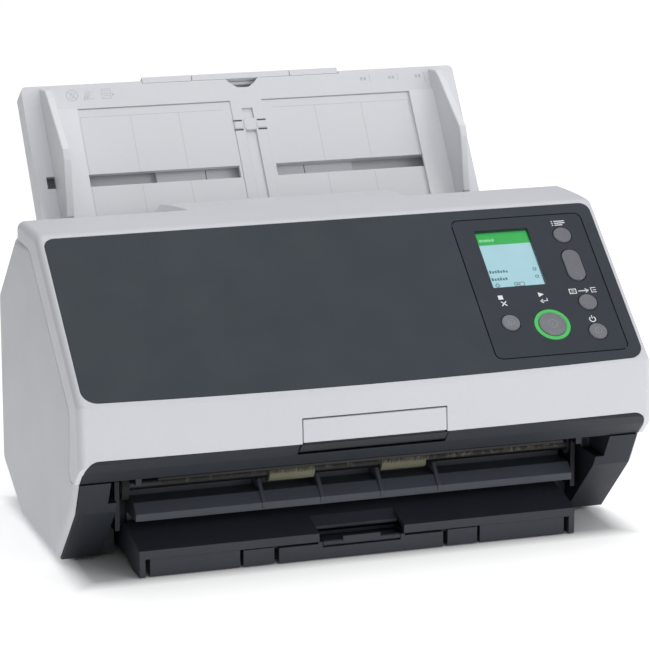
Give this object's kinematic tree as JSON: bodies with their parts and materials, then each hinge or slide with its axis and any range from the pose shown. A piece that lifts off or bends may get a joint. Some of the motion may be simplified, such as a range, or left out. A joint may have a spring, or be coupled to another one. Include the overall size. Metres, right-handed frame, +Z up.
{
  "type": "sheet fed document scanner",
  "caption": "Desktop sheet fed scanner with a hinged top unit and control panel, rear hopper with sliding side guides, and a pull-out exit stacker.",
  "frame": {"origin": "on the desk under the middle of the machine, trays shut", "axes": "+X to the machine's right as its user faces it, +Y towards its back, +Z up"},
  "size_m": [0.3, 0.2344, 0.2157],
  "materials": {
    "light_shell": "fine moulded texture, light grey",
    "side_shell": "fine moulded texture, light grey",
    "dark_shell": "fine moulded texture, charcoal",
    "pan_plastic": "moulded, charcoal",
    "insert_plastic": "satin blue-grey",
    "panel_plastic": "satin dark grey",
    "foot_rubber": "matt",
    "steel": "zinc plated",
    "pin_steel": "ground",
    "screw_steel": "blackened",
    "bush_plastic": "natural acetal",
    "guide_plastic": "smooth black",
    "sensor_case": "black",
    "scan_glass": "polished",
    "roller_rubber": "ground",
    "feed_rubber": "ground",
    "eject_rubber": "ground, khaki",
    "idler_plastic": "moulded",
    "brake_rubber": "ground",
    "motor_steel": "plated can",
    "belt_rubber": "toothed",
    "pcb_green": "solder mask",
    "port_metal": "tinned shells",
    "inlet_plastic": "black",
    "chute_plastic": "fine moulded texture, light grey",
    "guide_light": "smooth light grey",
    "pinion_plastic": "natural acetal",
    "stacker_plastic": "charcoal",
    "brush_fibre": "conductive fibres",
    "grip_plastic": "charcoal",
    "lcd_glass": "clear",
    "lcd_panel": "lit screen",
    "ring_green": "translucent, lit",
    "button_grey": "fine texture, mid grey"
  },
  "bodies": {
    "base": {"right_side_cover": "side_shell", "left_side_cover": "side_shell", "rear_cover": "side_shell", "case_screws": "screw_steel", "bottom_pan": "pan_plastic", "rubber_feet": "foot_rubber", "front_fascia": "dark_shell", "exit_guide": "dark_shell", "chassis_frame": "steel", "hinge_pins": "pin_steel", "shaft_bushes": "bush_plastic", "lower_paper_guide": "guide_plastic", "lower_sensor_unit": "sensor_case", "lower_glass": "scan_glass", "drive_motor": "motor_steel", "drive_belt": "belt_rubber", "main_board": "pcb_green", "data_ports": "port_metal", "power_inlet": "inlet_plastic", "paper_chute": "chute_plastic", "chute_back_cover": "chute_plastic"},
    "top_unit": {"adf_cover": "light_shell", "front_panel": "insert_plastic", "adf_fascia": "dark_shell", "antistatic_brush": "brush_fibre", "adf_frame": "guide_plastic", "upper_sensor_unit": "sensor_case", "upper_glass": "scan_glass", "operator_panel": "panel_plastic", "lcd_window": "lcd_glass", "lcd_display": "lcd_panel", "scan_ring": "ring_green", "panel_board": "pcb_green"},
    "pick": {"pick_roller": "roller_rubber"},
    "feed": {"feed_shaft": "pin_steel", "feed_tyres": "feed_rubber"},
    "eject": {"eject_shaft": "pin_steel", "eject_tyres": "eject_rubber"},
    "motor_rotor": {"motor_pulley": "pin_steel"},
    "brake": {"brake_roller": "brake_rubber"},
    "feed_idler": {"feed_idlers": "idler_plastic"},
    "eject_idler": {"eject_idlers": "idler_plastic"},
    "pull_tab": {"open_tab": "light_shell", "tab_grip": "grip_plastic"},
    "latch": {"latch_shaft": "pin_steel"},
    "menu": {"menu_button": "button_grey"},
    "manual_feed": {"manual_feed_button": "button_grey"},
    "power": {"power_button": "button_grey"},
    "stop": {"stop_button": "button_grey"},
    "scan": {"scan_button": "button_grey"},
    "rocker": {"select_rocker": "button_grey"},
    "guide_right": {"right_guide": "guide_light"},
    "guide_left": {"left_guide": "guide_light"},
    "pinion": {"guide_pinion": "pinion_plastic"},
    "chute_ext_1": {"chute_extension_1": "chute_plastic"},
    "chute_ext_2": {"chute_extension_2": "chute_plastic"},
    "stacker": {"stacker_tray": "stacker_plastic"},
    "stacker_ext_1": {"stacker_extension_1": "stacker_plastic"},
    "stacker_ext_2": {"stacker_extension_2": "stacker_plastic"},
    "stopper": {"stacker_stopper": "stacker_plastic"}
  },
  "joints": [
    {"name": "top_unit_hinge", "type": "hinge", "parent": "base", "child": "top_unit", "pos_m": [0, 0.038, 0.1485], "axis": [-1, 0, 0], "range_deg": [0, 80]},
    {"name": "tab_pull", "type": "hinge", "parent": "top_unit", "child": "pull_tab", "pos_m": [0, -0.1138, 0.079], "axis": [-1, 0, 0], "range_deg": [0, 8], "stiffness_Nm_per_rad": 0.3},
    {"name": "latch_turn", "type": "hinge", "parent": "top_unit", "child": "latch", "pos_m": [0, -0.097, 0.066], "axis": [-1, 0, 0], "range_deg": [0, 8]},
    {"name": "feed_spin", "type": "hinge", "parent": "base", "child": "feed", "pos_m": [0, 0.00817, 0.09085], "axis": [1, 0, 0], "continuous": true},
    {"name": "pick_spin", "type": "hinge", "parent": "base", "child": "pick", "pos_m": [0, 0.03642, 0.10619], "axis": [1, 0, 0], "continuous": true},
    {"name": "eject_spin", "type": "hinge", "parent": "base", "child": "eject", "pos_m": [0, -0.07114, 0.04124], "axis": [1, 0, 0], "continuous": true},
    {"name": "motor_spin", "type": "hinge", "parent": "base", "child": "motor_rotor", "pos_m": [0, 0.018, 0.058], "axis": [1, 0, 0], "continuous": true},
    {"name": "brake_spin", "type": "hinge", "parent": "top_unit", "child": "brake", "pos_m": [0, 0.02467, 0.12011], "axis": [1, 0, 0], "continuous": true},
    {"name": "feed_idler_spin", "type": "hinge", "parent": "top_unit", "child": "feed_idler", "pos_m": [0, 0.00087, 0.10173], "axis": [1, 0, 0], "continuous": true},
    {"name": "eject_idler_spin", "type": "hinge", "parent": "top_unit", "child": "eject_idler", "pos_m": [0, -0.07677, 0.04963], "axis": [1, 0, 0], "continuous": true},
    {"name": "menu_press", "type": "slide", "parent": "top_unit", "child": "menu", "axis": [0, 0.6435, -0.7655], "range_m": [0, 0.0008], "stiffness_N_per_m": 800},
    {"name": "manual_feed_press", "type": "slide", "parent": "top_unit", "child": "manual_feed", "axis": [0, 0.6435, -0.7655], "range_m": [0, 0.0008], "stiffness_N_per_m": 800},
    {"name": "power_press", "type": "slide", "parent": "top_unit", "child": "power", "axis": [0, 0.6435, -0.7655], "range_m": [0, 0.0008], "stiffness_N_per_m": 800},
    {"name": "stop_press", "type": "slide", "parent": "top_unit", "child": "stop", "axis": [0, 0.6435, -0.7655], "range_m": [0, 0.0008], "stiffness_N_per_m": 800},
    {"name": "scan_press", "type": "slide", "parent": "top_unit", "child": "scan", "axis": [0, 0.6435, -0.7655], "range_m": [0, 0.0008], "stiffness_N_per_m": 800},
    {"name": "rocker_tilt", "type": "hinge", "parent": "top_unit", "child": "rocker", "pos_m": [0.1264, -0.06364, 0.13254], "axis": [1, 0, 0], "range_deg": [-3, 3], "stiffness_Nm_per_rad": 0.25},
    {"name": "right_guide_slide", "type": "slide", "parent": "base", "child": "guide_right", "axis": [-1, 0, 0], "range_m": [0, 0.08]},
    {"name": "left_guide_slide", "type": "slide", "parent": "base", "child": "guide_left", "axis": [1, 0, 0], "range_m": [0, 0.08]},
    {"name": "pinion_spin", "type": "hinge", "parent": "base", "child": "pinion", "pos_m": [0, 0.07824, 0.16456], "axis": [0, -0.8192, 0.5736], "range_deg": [-1095, 1095]},
    {"name": "chute_ext_1_slide", "type": "slide", "parent": "base", "child": "chute_ext_1", "axis": [0, 0.5736, 0.8192], "range_m": [0, 0.08]},
    {"name": "chute_ext_2_slide", "type": "slide", "parent": "chute_ext_1", "child": "chute_ext_2", "axis": [0, 0.5736, 0.8192], "range_m": [0, 0.075]},
    {"name": "stacker_slide", "type": "slide", "parent": "base", "child": "stacker", "axis": [0, -1, 0], "range_m": [0, 0.085]},
    {"name": "stacker_ext_1_slide", "type": "slide", "parent": "stacker", "child": "stacker_ext_1", "axis": [0, -1, 0], "range_m": [0, 0.07]},
    {"name": "stacker_ext_2_slide", "type": "slide", "parent": "stacker_ext_1", "child": "stacker_ext_2", "axis": [0, -1, 0], "range_m": [0, 0.07]},
    {"name": "stopper_flip", "type": "hinge", "parent": "stacker_ext_2", "child": "stopper", "pos_m": [0, -0.0954, 0.0084], "axis": [1, 0, 0], "range_deg": [0, 90]}
  ],
  "couplings": [
    {"joint": "latch_turn", "follows": "tab_pull", "ratio": 1},
    {"joint": "pick_spin", "follows": "feed_spin", "ratio": 1},
    {"joint": "eject_spin", "follows": "feed_spin", "ratio": 1},
    {"joint": "motor_spin", "follows": "feed_spin", "ratio": 1.5},
    {"joint": "left_guide_slide", "follows": "right_guide_slide", "ratio": 1},
    {"joint": "pinion_spin", "follows": "right_guide_slide", "rad_per_m": -238.1}
  ]
}
